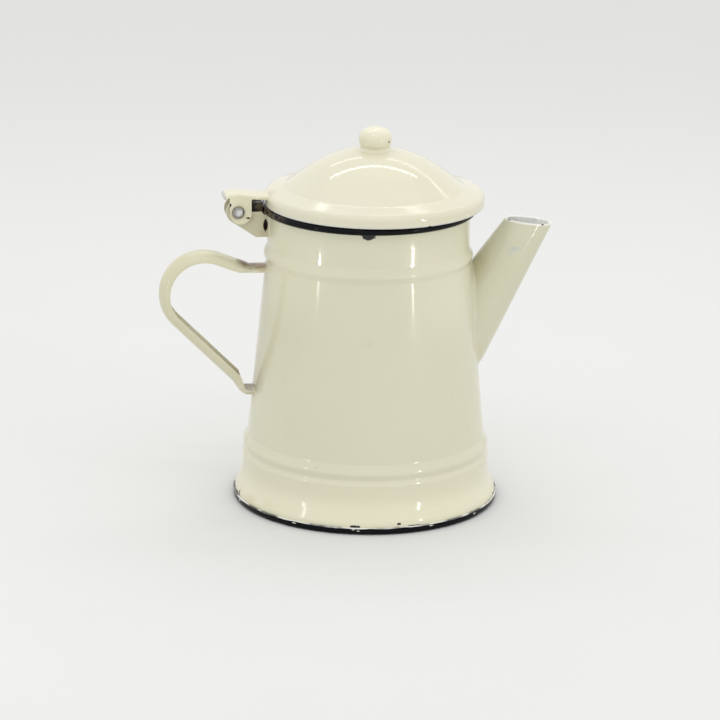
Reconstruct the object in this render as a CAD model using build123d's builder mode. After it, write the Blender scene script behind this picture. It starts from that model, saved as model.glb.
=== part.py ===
from build123d import *
from math import cos, radians, sin, sqrt
import os

# Small enamelled steel coffee pot, in millimetres. The origin is the middle of the underside, +Z is up,
# the spout points along +X, and the handle and the lid's hinge are on the -X side.

# Sheet and clearances
wall = 1.0                    # enamelled sheet of the body, the spout and the lid
seam_clearance = 0.05         # between a rolled edge and the wall inside it
lid_clearance = 0.25          # the lid's lower edge above the mouth hoop
ear_clearance = 0.3           # between an ear and the cheek inside it
pin_clearance = 0.02          # round the rivet in the cheeks
turning_clearance = 0.06      # round the rivet in the ears
head_clearance = 0.1          # between a rivet head and the ear

# Foot and bottom disc
base_radius = 62.2            # outside the black foot band
foot_band_height = 3.4
band_round = 0.3              # upper edge of the band
bottom_sheet = 0.8
bottom_bend = 1.0             # bend of the disc's edge, at the middle of the sheet
ring_margin = 4.7             # from the band's outside to the ring
ring_width = 11.0             # raised ring that stiffens the disc
ring_height = 1.5
ring_slant = 2.0              # slanted sides of the ring, along the radius

# Body wall, outside sizes
flare_low_z = 5.0             # the foot's flare starts here
flare_high_z = 12.6
flare_low_bend = 5.0
flare_high_bend = 14.0
skirt_radius = 57.95          # between the flare and the lower bead
lower_bead_z = 27.4
lower_bead_radius = 57.75
lower_body_radius = 55.55     # start of the straight taper
upper_body_radius = 47.75     # end of the straight taper
upper_bead_z = 118.0
upper_bead_radius = 48.85
bead_rise = 3.2               # from the groove under a bead to its crest
bead_fall = 4.0               # from the crest to the bead's upper edge
bead_start = 2.2              # from the skirt's end to the lower groove
bead_groove = 0.8             # depth of the lower groove against the crest
groove_bend = 1.5
crest_bend = 2.5
edge_bend = 2.0
neck_radius = 47.1
mouth_z = 139.6               # middle of the rolled hoop
hoop_radius = 1.6             # half the hoop's thickness
hoop_overhang = 3.0           # the hoop's outside beyond the neck
mouth_flare_height = 3.0      # the neck turns out under the hoop
mouth_flare_bend = 3.0

# Spout, a slanted oval cone
spout_mouth_x = 75.6
spout_mouth_z = 131.2
spout_mouth_length = 22.4
spout_mouth_width = 15.0
spout_mouth_tilt = 7.0        # degrees, lower at the tip
spout_mouth_round = 0.35
spout_heel_x = 35.7           # the cone ends here and draws in towards the wall
spout_heel_z = 67.5
spout_heel_length = 40.2
spout_heel_width = 42.0
spout_root_x = 29.2
spout_root_z = 58.0
spout_root_length = 40.0
spout_root_width = 40.0

# Strainer holes behind the spout
strainer_hole_radius = 1.6
strainer_pitch = 6.4
strainer_low_z = 74.0
strainer_row_counts = (3, 4, 5, 4, 3)

# Handle, a gutter open towards the body
handle_width = 13.0
handle_depth = 4.8
handle_sheet = 1.2
bow_x = -77.2                 # middle of the big bend
bow_z = 100.0
bow_radius = 15.8             # at the gutter's edges
arm_slope = 21.0              # degrees, rising from the upper foot
arm_length = 10.75
leg_slope = 44.7              # degrees, falling to the lower foot
leg_length = 40.0
foot_thickness = 2.7          # the strap's flattened ends
upper_foot_x = -55.5          # where the flat end starts
upper_foot_z = 110.7          # its edge towards the lower foot
lower_foot_x = -57.5
lower_foot_z = 53.4
gutter_end_depth = 0.3        # what is left of the gutter where the flat end starts
upper_knee = 0.5              # the knee's place between flat end and strap, as a share
lower_knee = 0.33
upper_knee_turn = 0.5         # how far the knee has turned towards the strap, as a share
lower_knee_turn = 0.7

# Lid
lid_offset = 2.4              # its middle sits this far towards the spout
lid_overhang = 1.0            # the lid's outside beyond the hoop's
lip_round = 0.35              # the lid's lower edge
brim_height = 5.55            # the brim's outer corner over the lid's lower edge
brim_round = 3.4
dome_radius = 41.9            # where the dome's flank meets the brim
dome_foot_height = 7.95       # the same place over the lid's lower edge
dome_valley = 2.7             # fillet between flank and brim
dome_height = 25.6            # apex over the lid's lower edge
crown_radius = 17.7           # corner between the flat apex and the straight flank
crown_bend = 53.0             # the corner's rounding
collar_clearance = 0.9        # between the collar's front and the neck
collar_sheet = 0.8
collar_drop = 6.5             # below the lid's lower edge

# Knob
knob_radius = 7.7
knob_widest = 4.95            # height of its widest line over the apex
knob_height = 10.25
knob_round = 4.5              # corner of the domed top
knob_waist_radius = 6.8
knob_waist = 1.05             # height of the waist over the apex
knob_foot_radius = 8.7        # the foot flares out to here
knob_sheet = 0.9

# Hinge
pivot_reach = 11.5            # the pivot behind the hoop's outside
pivot_drop = 0.2              # and under the mouth
rivet_radius = 1.3
rivet_head_radius = 2.85
rivet_head_height = 1.7
rivet_head_edge = 0.25        # straight edge under the head's dome
rivet_head_round = 1.0
hinge_sheet = 1.2
ear_radius = 5.0
ear_forward = 1.1             # an ear's middle ahead of the pivot
ear_low = 0.7                 # and under it
leaf_width = 12.0
leaf_sheet = 1.5
leaf_bend = 1.1               # rounding along the tab's sides
ear_fillet = 0.8              # between an ear and the tab
ear_top = 0.5                 # an ear's upper end under the middle of the tab's sheet
leaf_rear = 5.9               # the tab's rear end behind the pivot, at the middle of the sheet
leaf_rear_height = 7.1        # heights over the pivot, at the middle of the sheet
leaf_hook_height = 6.1        # lower end of the rear edge, turned down a little
leaf_crown = 0.6              # the crown lies this far behind the pivot
leaf_crown_height = 8.3
leaf_front = 8.6              # the arch's front end ahead of the pivot
leaf_front_height = 6.6
leaf_hook_bend = 0.8
leaf_arch_bend = 18.0
leaf_front_bend = 12.0
boss_radius = 5.5             # round end of the bracket
bracket_web = 1.0
bracket_drop = 12.2           # the bracket's lower end under the pivot
bracket_shelf = 6.1           # its sloping lower edge ends this far behind the neck
bracket_top_drop = 0.2        # its upper edge at the hoop, under the pivot
bracket_hoop_gap = 0.4
drain_gap = 1.7               # middle of the drain hole behind the neck
drain_drop = 6.65             # and under the pivot
drain_width = 2.25
drain_height = 6.5

# Sizes that follow
shell_foot_radius = base_radius - bottom_sheet - seam_clearance
shell_foot_z = bottom_sheet / 2 + bottom_bend
hoop_outer_radius = neck_radius + hoop_overhang
hoop_middle_radius = hoop_outer_radius - hoop_radius
lip_z = mouth_z + hoop_radius + lid_clearance
lid_axis = Axis((lid_offset, 0, 0), (0, 0, 1))
apex_z = lip_z + dome_height
lid_radius = hoop_outer_radius + lid_overhang
collar_radius = neck_radius - wall - lid_offset - collar_clearance
pivot_x = -hoop_outer_radius - pivot_reach
pivot_z = mouth_z - pivot_drop
bracket_low_x = -neck_radius - bracket_shelf
bracket_low_z = pivot_z - bracket_drop
bracket_top_z = pivot_z - bracket_top_drop
drain_x = -neck_radius - drain_gap
drain_z = pivot_z - drain_drop
ear_inner = leaf_width / 2 - hinge_sheet
cheek_outer = ear_inner - ear_clearance
cheek_inner = cheek_outer - hinge_sheet
gutter_width = handle_width - 2 * handle_sheet
gutter_depth = handle_depth - handle_sheet
arm_turn = 90 - arm_slope
leg_turn = 270 - leg_slope

os.makedirs("parts", exist_ok=True)


def wall_line(inset):
    """Line of the wall from the foot to the mouth, moved in from the outside."""
    spots = [
        (shell_foot_radius, shell_foot_z, 0),
        (shell_foot_radius, flare_low_z, flare_low_bend),
        (skirt_radius, flare_high_z, flare_high_bend),
        (skirt_radius, lower_bead_z - bead_rise - bead_start, edge_bend),
        (lower_bead_radius - bead_groove, lower_bead_z - bead_rise, groove_bend),
        (lower_bead_radius, lower_bead_z, crest_bend),
        (lower_body_radius, lower_bead_z + bead_fall, edge_bend),
        (upper_body_radius, upper_bead_z - bead_rise, groove_bend),
        (upper_bead_radius, upper_bead_z, crest_bend),
        (neck_radius, upper_bead_z + bead_fall, edge_bend),
        (neck_radius, mouth_z - mouth_flare_height, mouth_flare_bend),
        (hoop_middle_radius, mouth_z, 0),
    ]
    points = [(radius - inset, z) for radius, z, bend in spots]
    bends = [bend for radius, z, bend in spots[1:-1]]
    return FilletPolyline(*points, radius=bends)


def wall_band(clearance):
    """Both sides of the wall and its two edges, all moved out by a clearance."""
    outer = wall_line(-clearance)
    inner = wall_line(wall + clearance)
    Line(outer @ 0, inner @ 0)
    Line(outer @ 1, inner @ 1)


def lid_space(inset, bottom=0.0):
    """Half section of the space under the lid's upper surface, moved in by a distance."""
    with BuildSketch(Plane((lid_offset, 0, lip_z), x_dir=(1, 0, 0), z_dir=(0, -1, 0))) as space:
        with BuildLine():
            surface = FilletPolyline(
                (0, dome_height),
                (crown_radius, dome_height),
                (dome_radius, dome_foot_height),
                (lid_radius, brim_height),
                (lid_radius, bottom - inset),
                radius=[crown_bend, dome_valley, brim_round],
            )
            Line(surface @ 1, (0, bottom - inset))
            mirror(about=Plane.YZ)
        make_face()
        if inset:
            offset(amount=-inset, mode=Mode.REPLACE)
        Rectangle(lid_radius, dome_height * 3, align=(Align.MIN, Align.CENTER), mode=Mode.INTERSECT)
    return space.sketch


def domed_end(half_width, height, corner, level):
    """Corner arc and crown arc of a domed end, from its widest line at a level up to its axis."""
    inward = half_width - corner
    drop = (inward**2 - (height - corner) ** 2) / (2 * (height - corner))
    reach = (height + drop) / sqrt(inward**2 + drop**2)
    meet = (inward * reach, level - drop + drop * reach)
    TangentArc((half_width, level), meet, tangent=(0, 1))
    TangentArc((0, level + height), meet, tangent=(1, 0))


def knob_space(inset):
    """Half section of the space inside the knob, moved in by a distance."""
    side = knob_radius - inset
    waist = knob_waist_radius - inset
    foot_level = knob_waist - (knob_foot_radius - waist)
    crown = knob_height - inset
    with BuildSketch(Plane((lid_offset, 0, apex_z), x_dir=(1, 0, 0), z_dir=(0, -1, 0))) as space:
        with BuildLine():
            domed_end(side, crown - knob_widest, knob_round - inset, knob_widest)
            Polyline((0, crown), (0, foot_level), (knob_foot_radius, foot_level))
            TangentArc((side, knob_widest), (waist, knob_waist), tangent=(0, -1))
            TangentArc((waist, knob_waist), (knob_foot_radius, foot_level), tangent=(0, -1))
        make_face()
    return space.sketch


def spout_ovals(inset):
    """Ovals at the spout's mouth, heel and root, drawn in by a distance."""
    mouth = Plane((spout_mouth_x, 0, spout_mouth_z)).rotated((0, spout_mouth_tilt, 0))
    with BuildSketch(mouth) as mouth_oval:
        Ellipse(spout_mouth_length / 2 - inset, spout_mouth_width / 2 - inset)
    with BuildSketch(Plane((spout_heel_x, 0, spout_heel_z))) as heel_oval:
        Ellipse(spout_heel_length / 2 - inset, spout_heel_width / 2 - inset)
    with BuildSketch(Plane((spout_root_x, 0, spout_root_z))) as root_oval:
        Ellipse(spout_root_length / 2 - inset, spout_root_width / 2 - inset)
    return [mouth_oval.sketch, heel_oval.sketch, root_oval.sketch]


def strap_point(turn, length=0.0, slope=0.0):
    """Point of the gutter's edge, a length beyond the bow's end at an angle, down a slope."""
    x = bow_x + bow_radius * cos(radians(turn)) + length * cos(radians(slope))
    z = bow_z + bow_radius * sin(radians(turn)) - length * sin(radians(slope))
    return (x, z)


def strap_section(width, depth, point, turn):
    """Half oval across the strap, from its gutter's edge outwards at an angle in degrees."""
    x, z = point
    out = Vector(cos(radians(turn)), 0, sin(radians(turn)))
    across = Plane((x, 0, z), x_dir=(0, 1, 0), z_dir=Vector(0, 1, 0).cross(out))
    with BuildSketch(across) as section:
        with BuildLine():
            Line((width / 2, 0), (-width / 2, 0))
            EllipticalCenterArc((0, 0), width / 2, depth, arc_size=180)
        make_face()
    return section.sketch


def upper_end(width, depth, end_depth):
    """Sections from the strap's full depth to its upper foot, with the knee in between."""
    knee = (
        upper_foot_x + (arm_end[0] - upper_foot_x) * upper_knee,
        upper_foot_z + (arm_end[1] - upper_foot_z) * upper_knee,
    )
    return [
        strap_section(width, depth, arm_end, arm_turn),
        strap_section(width, (depth + end_depth) / 2, knee, 90 + (arm_turn - 90) * upper_knee_turn),
        strap_section(width, end_depth, upper_foot, 90),
    ]


def lower_end(width, depth, end_depth):
    """Sections from the strap's full depth to its lower foot, with the knee in between."""
    knee = (
        lower_foot_x + (leg_end[0] - lower_foot_x) * lower_knee,
        lower_foot_z + (leg_end[1] - lower_foot_z) * lower_knee,
    )
    return [
        strap_section(width, depth, leg_end, leg_turn),
        strap_section(width, (depth + end_depth) / 2, knee, 270 + (leg_turn - 270) * lower_knee_turn),
        strap_section(width, end_depth, lower_foot, 270),
    ]


def leaf_line(drop=0.0):
    """Middle line of the leaf's tab, from its hooked rear end to inside the lid's brim."""
    level = pivot_z - drop
    points = [
        (pivot_x - leaf_rear, level + leaf_hook_height),
        (pivot_x - leaf_rear, level + leaf_rear_height),
        (pivot_x - leaf_crown, level + leaf_crown_height),
        (pivot_x + leaf_front, level + leaf_front_height),
        (lid_offset - dome_radius, level + leaf_front_height),
    ]
    return FilletPolyline(*points, radius=[leaf_hook_bend, leaf_arch_bend, leaf_front_bend])


# Everything inside the wall's outer surface, to trim what is fixed to it
with BuildPart() as pot_space:
    with BuildSketch(Plane.XZ):
        with BuildLine():
            side = wall_line(0)
            Polyline(side @ 1, (0, mouth_z), (0, shell_foot_z), side @ 0)
        make_face()
    revolve(axis=Axis.Z)

# Tapered wall with its flared foot, two beads, neck and strainer holes
with BuildPart() as body_shell:
    with BuildSketch(Plane.XZ):
        with BuildLine():
            wall_band(0)
        make_face()
    revolve(axis=Axis.Z)
    with BuildSketch(Plane.YZ):
        for row, count in enumerate(strainer_row_counts):
            row_z = strainer_low_z + row * strainer_pitch * sqrt(3) / 2
            with Locations((0, row_z)):
                with GridLocations(strainer_pitch, strainer_pitch, count, 1):
                    Circle(strainer_hole_radius)
    extrude(amount=base_radius, mode=Mode.SUBTRACT)
body_shell.part.label = "body_shell"
export_step(body_shell.part, "parts/body_shell.step")

# Black rolled hoop round the mouth, with a slot for the wall's edge
with BuildPart() as rim_hoop:
    with BuildSketch(Plane.XZ):
        with Locations((hoop_middle_radius, mouth_z)):
            Circle(hoop_radius)
        with BuildLine():
            wall_band(seam_clearance)
        make_face(mode=Mode.SUBTRACT)
    revolve(axis=Axis.Z)
rim_hoop.part.label = "rim_hoop"
export_step(rim_hoop.part, "parts/rim_hoop.step")

# Pressed disc with a raised ring, its edge turned up round the wall as the black foot band
with BuildPart() as bottom_disc:
    ring_outer = base_radius - ring_margin
    ring_inner = ring_outer - ring_width
    sheet_z = bottom_sheet / 2
    with BuildSketch(Plane.XZ):
        with BuildLine():
            FilletPolyline(
                (0, sheet_z),
                (ring_inner, sheet_z),
                (ring_inner + ring_slant, sheet_z + ring_height),
                (ring_outer - ring_slant, sheet_z + ring_height),
                (ring_outer, sheet_z),
                (base_radius - sheet_z, sheet_z),
                (base_radius - sheet_z, foot_band_height),
                radius=[bottom_bend] * 5,
            )
        trace(line_width=bottom_sheet)
        rolled_edge = vertices().group_by(Axis.Y)[-1]
        fillet(rolled_edge, band_round)
    revolve(axis=Axis.Z)
bottom_disc.part.label = "bottom_disc"
export_step(bottom_disc.part, "parts/bottom_disc.step")

# Straight tapered spout, open into the strainer
with BuildPart() as spout:
    loft(spout_ovals(0), ruled=True)
    loft(spout_ovals(wall), ruled=True, mode=Mode.SUBTRACT)
    add(pot_space.part, mode=Mode.SUBTRACT)
    lip = faces().sort_by(Axis.Z)[-1]
    fillet(lip.edges(), spout_mouth_round)
spout.part.label = "spout"
export_step(spout.part, "parts/spout.step")

# Hollow strap handle, flattened at both ends
arm_end = strap_point(arm_turn, arm_length, arm_slope)
leg_end = strap_point(leg_turn, leg_length, leg_slope)
upper_foot = (upper_foot_x, upper_foot_z)
lower_foot = (lower_foot_x, lower_foot_z)
with BuildPart() as handle:
    with BuildLine(Plane.XZ) as strap_line:
        Line(arm_end, strap_point(arm_turn))
        CenterArc((bow_x, bow_z), bow_radius, arm_turn, leg_turn - arm_turn)
        Line(strap_point(leg_turn), leg_end)
    outside = (handle_width, handle_depth)
    gutter = (gutter_width, gutter_depth)
    sweep(strap_section(*outside, arm_end, arm_turn), path=strap_line.line)
    loft(upper_end(*outside, foot_thickness))
    loft(lower_end(*outside, foot_thickness), ruled=True)
    upper_section = strap_section(handle_width, foot_thickness, upper_foot, 90)
    lower_section = strap_section(handle_width, foot_thickness, lower_foot, 270)
    extrude(upper_section, amount=-upper_foot_x - neck_radius, dir=(1, 0, 0))
    extrude(lower_section, amount=-lower_foot_x - neck_radius, dir=(1, 0, 0))
    sweep(strap_section(*gutter, arm_end, arm_turn), path=strap_line.line, mode=Mode.SUBTRACT)
    loft(upper_end(*gutter, gutter_end_depth), mode=Mode.SUBTRACT)
    loft(lower_end(*gutter, gutter_end_depth), ruled=True, mode=Mode.SUBTRACT)
    add(pot_space.part, mode=Mode.SUBTRACT)
handle.part.label = "handle"
export_step(handle.part, "parts/handle.step")

# Bent sheet bracket with two cheeks, notched round the hoop, welded to the neck. The cheek on the -Y side
# has a pointed drain hole.
with BuildPart() as hinge_bracket:
    with BuildSketch(Plane.XZ):
        with BuildLine():
            CenterArc((pivot_x, pivot_z), boss_radius, 0, 360)
            Polyline((bracket_low_x, bracket_low_z), (-neck_radius, bracket_low_z), (-neck_radius, bracket_top_z))
        make_hull()
        with Locations((pivot_x, bracket_top_z)):
            Rectangle(neck_radius, neck_radius, align=(Align.MIN, Align.MIN), mode=Mode.SUBTRACT)
        with Locations((pivot_x, pivot_z)):
            Circle(boss_radius)
            Circle(rivet_radius + pin_clearance, mode=Mode.SUBTRACT)
        with Locations((-hoop_middle_radius, mouth_z)):
            Circle(hoop_radius + bracket_hoop_gap, mode=Mode.SUBTRACT)
    extrude(amount=cheek_outer, both=True)
    with BuildSketch(Plane.XZ):
        with Locations((-neck_radius - bracket_web, pivot_z)):
            Rectangle(neck_radius, neck_radius, align=(Align.MAX, Align.CENTER))
    extrude(amount=cheek_inner, both=True, mode=Mode.SUBTRACT)
    with BuildSketch(Plane.XZ):
        with BuildLine():
            drain_low = (drain_x, drain_z - drain_height / 2)
            drain_high = (drain_x, drain_z + drain_height / 2)
            ThreePointArc(drain_low, (drain_x - drain_width / 2, drain_z), drain_high)
            ThreePointArc(drain_low, (drain_x + drain_width / 2, drain_z), drain_high)
        make_face()
    extrude(amount=cheek_outer, mode=Mode.SUBTRACT)
    add(pot_space.part, mode=Mode.SUBTRACT)
hinge_bracket.part.label = "hinge_bracket"
export_step(hinge_bracket.part, "parts/hinge_bracket.step")

# Rivet through ears and cheeks, with two domed heads
with BuildPart() as hinge_rivet:
    head_start = leaf_width / 2 + head_clearance
    head_edge = head_start + rivet_head_edge
    with BuildSketch(Plane((pivot_x, 0, pivot_z), x_dir=(1, 0, 0), z_dir=(0, 0, 1))):
        with BuildLine():
            Polyline((0, 0), (rivet_radius, 0), (rivet_radius, head_start), (rivet_head_radius, head_start),
                     (rivet_head_radius, head_edge))
            domed_end(rivet_head_radius, rivet_head_height - rivet_head_edge, rivet_head_round, head_edge)
            Line((0, head_start + rivet_head_height), (0, 0))
        make_face()
    revolve(axis=Axis((pivot_x, 0, pivot_z), (0, 1, 0)))
    mirror(about=Plane.XZ)
hinge_rivet.part.label = "hinge_rivet"
export_step(hinge_rivet.part, "parts/hinge_rivet.step")

# Pressed lid with a turned-down brim and a dome
with BuildPart() as lid:
    revolve(lid_space(0), axis=lid_axis)
    revolve(lid_space(wall), axis=lid_axis, mode=Mode.SUBTRACT)
    fillet(edges().group_by(Axis.Z)[0], lip_round)
lid.part.label = "lid"
export_step(lid.part, "parts/lid.step")

# Ring under the lid that keeps it in the mouth
with BuildPart() as lid_collar:
    with BuildSketch(Plane((lid_offset, 0, lip_z - collar_drop))):
        Circle(collar_radius)
        Circle(collar_radius - collar_sheet, mode=Mode.SUBTRACT)
    extrude(amount=collar_drop + dome_height)
    revolve(lid_space(wall, -collar_drop), axis=lid_axis, mode=Mode.INTERSECT)
lid_collar.part.label = "lid_collar"
export_step(lid_collar.part, "parts/lid_collar.step")

# Hollow knob on top of the dome
with BuildPart() as lid_knob:
    revolve(knob_space(0), axis=lid_axis)
    revolve(knob_space(knob_sheet), axis=lid_axis, mode=Mode.SUBTRACT)
    revolve(lid_space(0), axis=lid_axis, mode=Mode.SUBTRACT)
lid_knob.part.label = "lid_knob"
export_step(lid_knob.part, "parts/lid_knob.step")

# Arched tab with two ears that hang outside the bracket's cheeks
with BuildPart() as hinge_leaf:
    with BuildSketch(Plane.XZ):
        with BuildLine():
            leaf_line()
        trace(line_width=leaf_sheet)
    extrude(amount=leaf_width / 2, both=True)
    upper_faces = faces().filter_by(lambda face: face.normal_at().Z > 0.3)
    side_edges = upper_faces.edges().filter_by(lambda edge: abs(edge.center().Y) > ear_inner)
    fillet(side_edges, leaf_bend)
    with BuildSketch(Plane.XZ.offset(-leaf_width / 2)):
        with Locations((pivot_x + ear_forward, pivot_z - ear_low)):
            Circle(ear_radius)
            Rectangle(ear_radius * 2, leaf_crown_height * 2, align=(Align.CENTER, Align.MIN))
        with BuildLine():
            top = leaf_line(ear_top)
            above = pivot_z + leaf_crown_height * 3
            Polyline(top @ 1, ((top @ 1).X, above), ((top @ 0).X, above), top @ 0)
        make_face(mode=Mode.SUBTRACT)
        with Locations((pivot_x, pivot_z)):
            Circle(rivet_radius + turning_clearance, mode=Mode.SUBTRACT)
    extrude(amount=hinge_sheet)
    mirror(about=Plane.XZ)
    short_edges = edges().filter_by(Axis.Y).filter_by(lambda edge: edge.length < hinge_sheet * 1.1)
    front_corners = short_edges.filter_by(lambda edge: edge.center().X > pivot_x).group_by(Axis.Z)[-1]
    fillet(front_corners, ear_fillet)
    revolve(lid_space(0), axis=lid_axis, mode=Mode.SUBTRACT)
hinge_leaf.part.label = "hinge_leaf"
export_step(hinge_leaf.part, "parts/hinge_leaf.step")
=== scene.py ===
"""Cream enamelled coffee pot: finishes, weld fillets, floor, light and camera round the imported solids."""

import math

import bmesh
import bpy
import numpy as np
from mathutils import Matrix, Vector
from mathutils.bvhtree import BVHTree


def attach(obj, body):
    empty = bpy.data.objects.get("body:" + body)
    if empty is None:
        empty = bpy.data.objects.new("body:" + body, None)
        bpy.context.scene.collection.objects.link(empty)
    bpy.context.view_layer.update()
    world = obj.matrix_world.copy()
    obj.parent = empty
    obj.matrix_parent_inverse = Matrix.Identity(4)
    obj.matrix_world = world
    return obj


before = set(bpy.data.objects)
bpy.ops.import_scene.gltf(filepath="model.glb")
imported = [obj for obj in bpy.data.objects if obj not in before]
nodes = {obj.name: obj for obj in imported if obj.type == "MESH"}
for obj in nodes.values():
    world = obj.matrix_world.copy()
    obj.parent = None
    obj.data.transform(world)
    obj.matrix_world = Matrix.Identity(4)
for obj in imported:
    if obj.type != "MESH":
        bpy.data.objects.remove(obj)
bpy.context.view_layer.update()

# --- Body wall ---------------------------------------------------------------------------------
# Thin sheet steel, pressed and seamed, with a thick glossy coat of cream enamel fired on. Age has
# chipped the coat at the foot down to the black ground coat and stained it brown over the band.

CREAM = (0.650, 0.640, 0.485)
CREAM_AGED = (0.635, 0.620, 0.455)
SKIRT_PAINTED_LIGHT = (0.750, 0.722, 0.545)
INSIDE_WHITE = (0.600, 0.605, 0.575)
INSIDE_STREAK = (0.400, 0.370, 0.300)
GROUND_BLACK = (0.006, 0.007, 0.009)
RUST = (0.180, 0.075, 0.022)
GRIME = (0.420, 0.340, 0.200)
PINHOLE = (0.100, 0.075, 0.045)


def join(tree, socket, value):
    """Gives a socket a number, a colour or the result of other nodes."""
    if isinstance(value, Value):
        tree.links.new(value.socket, socket)
    else:
        socket.default_value = value


class Value:
    """A result inside one material, so that shader maths reads as plain sums."""

    def __init__(self, tree, socket):
        self.tree = tree
        self.socket = socket

    def maths(self, operation, first, second=0.0, clamp=False):
        node = self.tree.nodes.new("ShaderNodeMath")
        node.operation = operation
        node.use_clamp = clamp
        join(self.tree, node.inputs[0], first)
        join(self.tree, node.inputs[1], second)
        return Value(self.tree, node.outputs[0])

    def __add__(self, other):
        return self.maths("ADD", self, other)

    def __radd__(self, other):
        return self.maths("ADD", other, self)

    def __sub__(self, other):
        return self.maths("SUBTRACT", self, other)

    def __rsub__(self, other):
        return self.maths("SUBTRACT", other, self)

    def __mul__(self, other):
        return self.maths("MULTIPLY", self, other)

    def __rmul__(self, other):
        return self.maths("MULTIPLY", other, self)

    def __truediv__(self, other):
        return self.maths("DIVIDE", self, other)

    def __rtruediv__(self, other):
        return self.maths("DIVIDE", other, self)

    def most(self, other):
        return self.maths("MAXIMUM", self, other)

    def least(self, other):
        return self.maths("MINIMUM", self, other)

    def size(self):
        return self.maths("ABSOLUTE", self)

    def clamped(self):
        return self.maths("ADD", self, 0.0, clamp=True)

    def far(self, other):
        """Length of a way made of two legs at right angles."""
        return self.maths("SQRT", self * self + other * other)


class Finish:
    """One material: its shader, the place on the pot in millimetres, and the steps that build its look."""

    def __init__(self, name, roughness, metallic=0.0):
        self.material = bpy.data.materials.new(name)
        self.material.use_nodes = True
        self.tree = self.material.node_tree
        self.shader = self.tree.nodes["Principled BSDF"]
        self.shader.inputs["Roughness"].default_value = roughness
        self.shader.inputs["Metallic"].default_value = metallic
        metres = self.node("ShaderNodeTexCoord", "Object")
        to_mm = {0: metres, "Scale": 1000.0}
        self.place = self.node("ShaderNodeVectorMath", 0, {"operation": "SCALE"}, to_mm)
        self.x = self.node("ShaderNodeSeparateXYZ", "X", {}, {0: self.place})
        self.y = self.node("ShaderNodeSeparateXYZ", "Y", {}, {0: self.place})
        self.z = self.node("ShaderNodeSeparateXYZ", "Z", {}, {0: self.place})
        self.radius = self.distance((0, 0, 0), (1, 1, 0))

    def node(self, kind, output, settings=None, sockets=None):
        made = self.tree.nodes.new(kind)
        for setting, value in (settings or {}).items():
            setattr(made, setting, value)
        for socket, value in (sockets or {}).items():
            join(self.tree, made.inputs[socket], value)
        return Value(self.tree, made.outputs[output])

    def vector(self, operation, first, second):
        return self.node("ShaderNodeVectorMath", 0, {"operation": operation}, {0: first, 1: second})

    def distance(self, centre, weight=(1, 1, 1)):
        """How far the place lies from a centre, with a weight for each axis."""
        aside = self.vector("MULTIPLY", self.vector("SUBTRACT", self.place, centre), weight)
        return self.node("ShaderNodeVectorMath", "Value", {"operation": "LENGTH"}, {0: aside})

    def along(self, centre, direction):
        """How far the place lies from a centre along a direction."""
        sockets = {0: self.vector("SUBTRACT", self.place, centre), 1: direction}
        return self.node("ShaderNodeVectorMath", "Value", {"operation": "DOT_PRODUCT"}, sockets)

    def noise(self, size, detail=2.0, stretch=(1, 1, 1), seed=0.0):
        """Soft noise from 0 to 1 whose patches are about size millimetres across."""
        spot = self.vector("MULTIPLY", self.place, [1 / (size * part) for part in stretch])
        sockets = {"Vector": spot, "W": seed, "Scale": 1.0, "Detail": detail}
        return self.node("ShaderNodeTexNoise", 0, {"noise_dimensions": "4D"}, sockets)

    def ramp(self, value, low, high):
        """0 below low and 1 above high, with a soft rise between; the other way round if high is less."""
        sockets = {"Value": value, "From Min": low, "From Max": high}
        return self.node("ShaderNodeMapRange", 0, {"interpolation_type": "SMOOTHSTEP"}, sockets)

    def patch(self, centre, reach, soft=0.3, ragged=0.5, grain=1.5, seed=0.0):
        """1 inside an uneven patch round a centre, with a reach in millimetres for each axis."""
        far = self.distance(centre, [1 / part for part in reach])
        uneven = far + (self.noise(grain, 3.0, seed=seed) - 0.5) * (ragged * 2)
        return self.ramp(uneven, 1.0, 1.0 - soft)

    def patches(self, spots, soft, ragged, grain, step):
        """1 inside any of several patches; the seed goes up by a step from each to the next."""
        cover = None
        for number, (centre, reach) in enumerate(spots):
            spot = self.patch(centre, reach, soft, ragged, grain, number * step)
            cover = spot if cover is None else cover.most(spot)
        return cover

    def profile(self, value, corners):
        """Follows straight runs between corners, each an in and an out value in millimetres."""
        made = self.tree.nodes.new("ShaderNodeFloatCurve")
        curve = made.mapping.curves[0]
        full = corners[-1][0]
        for number, (at, out) in enumerate(corners):
            spot = (at / full, out / full)
            if 0 < number < len(corners) - 1:
                curve.points.new(*spot)
            else:
                curve.points[-1 if number else 0].location = spot
        for point in curve.points:
            point.handle_type = "VECTOR"
        made.mapping.update()
        join(self.tree, made.inputs["Value"], value / full)
        return Value(self.tree, made.outputs[0]) * full

    def mix(self, share, low, high):
        """Goes from the low colour to the high one as share goes from 0 to 1."""
        low = low if isinstance(low, Value) else (*low, 1.0)
        high = high if isinstance(high, Value) else (*high, 1.0)
        return self.node("ShaderNodeMix", 2, {"data_type": "RGBA"}, {0: share, 6: low, 7: high})

    def colour(self, value):
        join(self.tree, self.shader.inputs["Base Color"], value)

    def roughness(self, value):
        join(self.tree, self.shader.inputs["Roughness"], value)

    def metal(self, value):
        join(self.tree, self.shader.inputs["Metallic"], value)

    def relief(self, height):
        """Raises the surface by a height in millimetres."""
        sockets = {"Strength": 1.0, "Distance": 0.001, "Height": height}
        join(self.tree, self.shader.inputs["Normal"], self.node("ShaderNodeBump", 0, {}, sockets))


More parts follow.
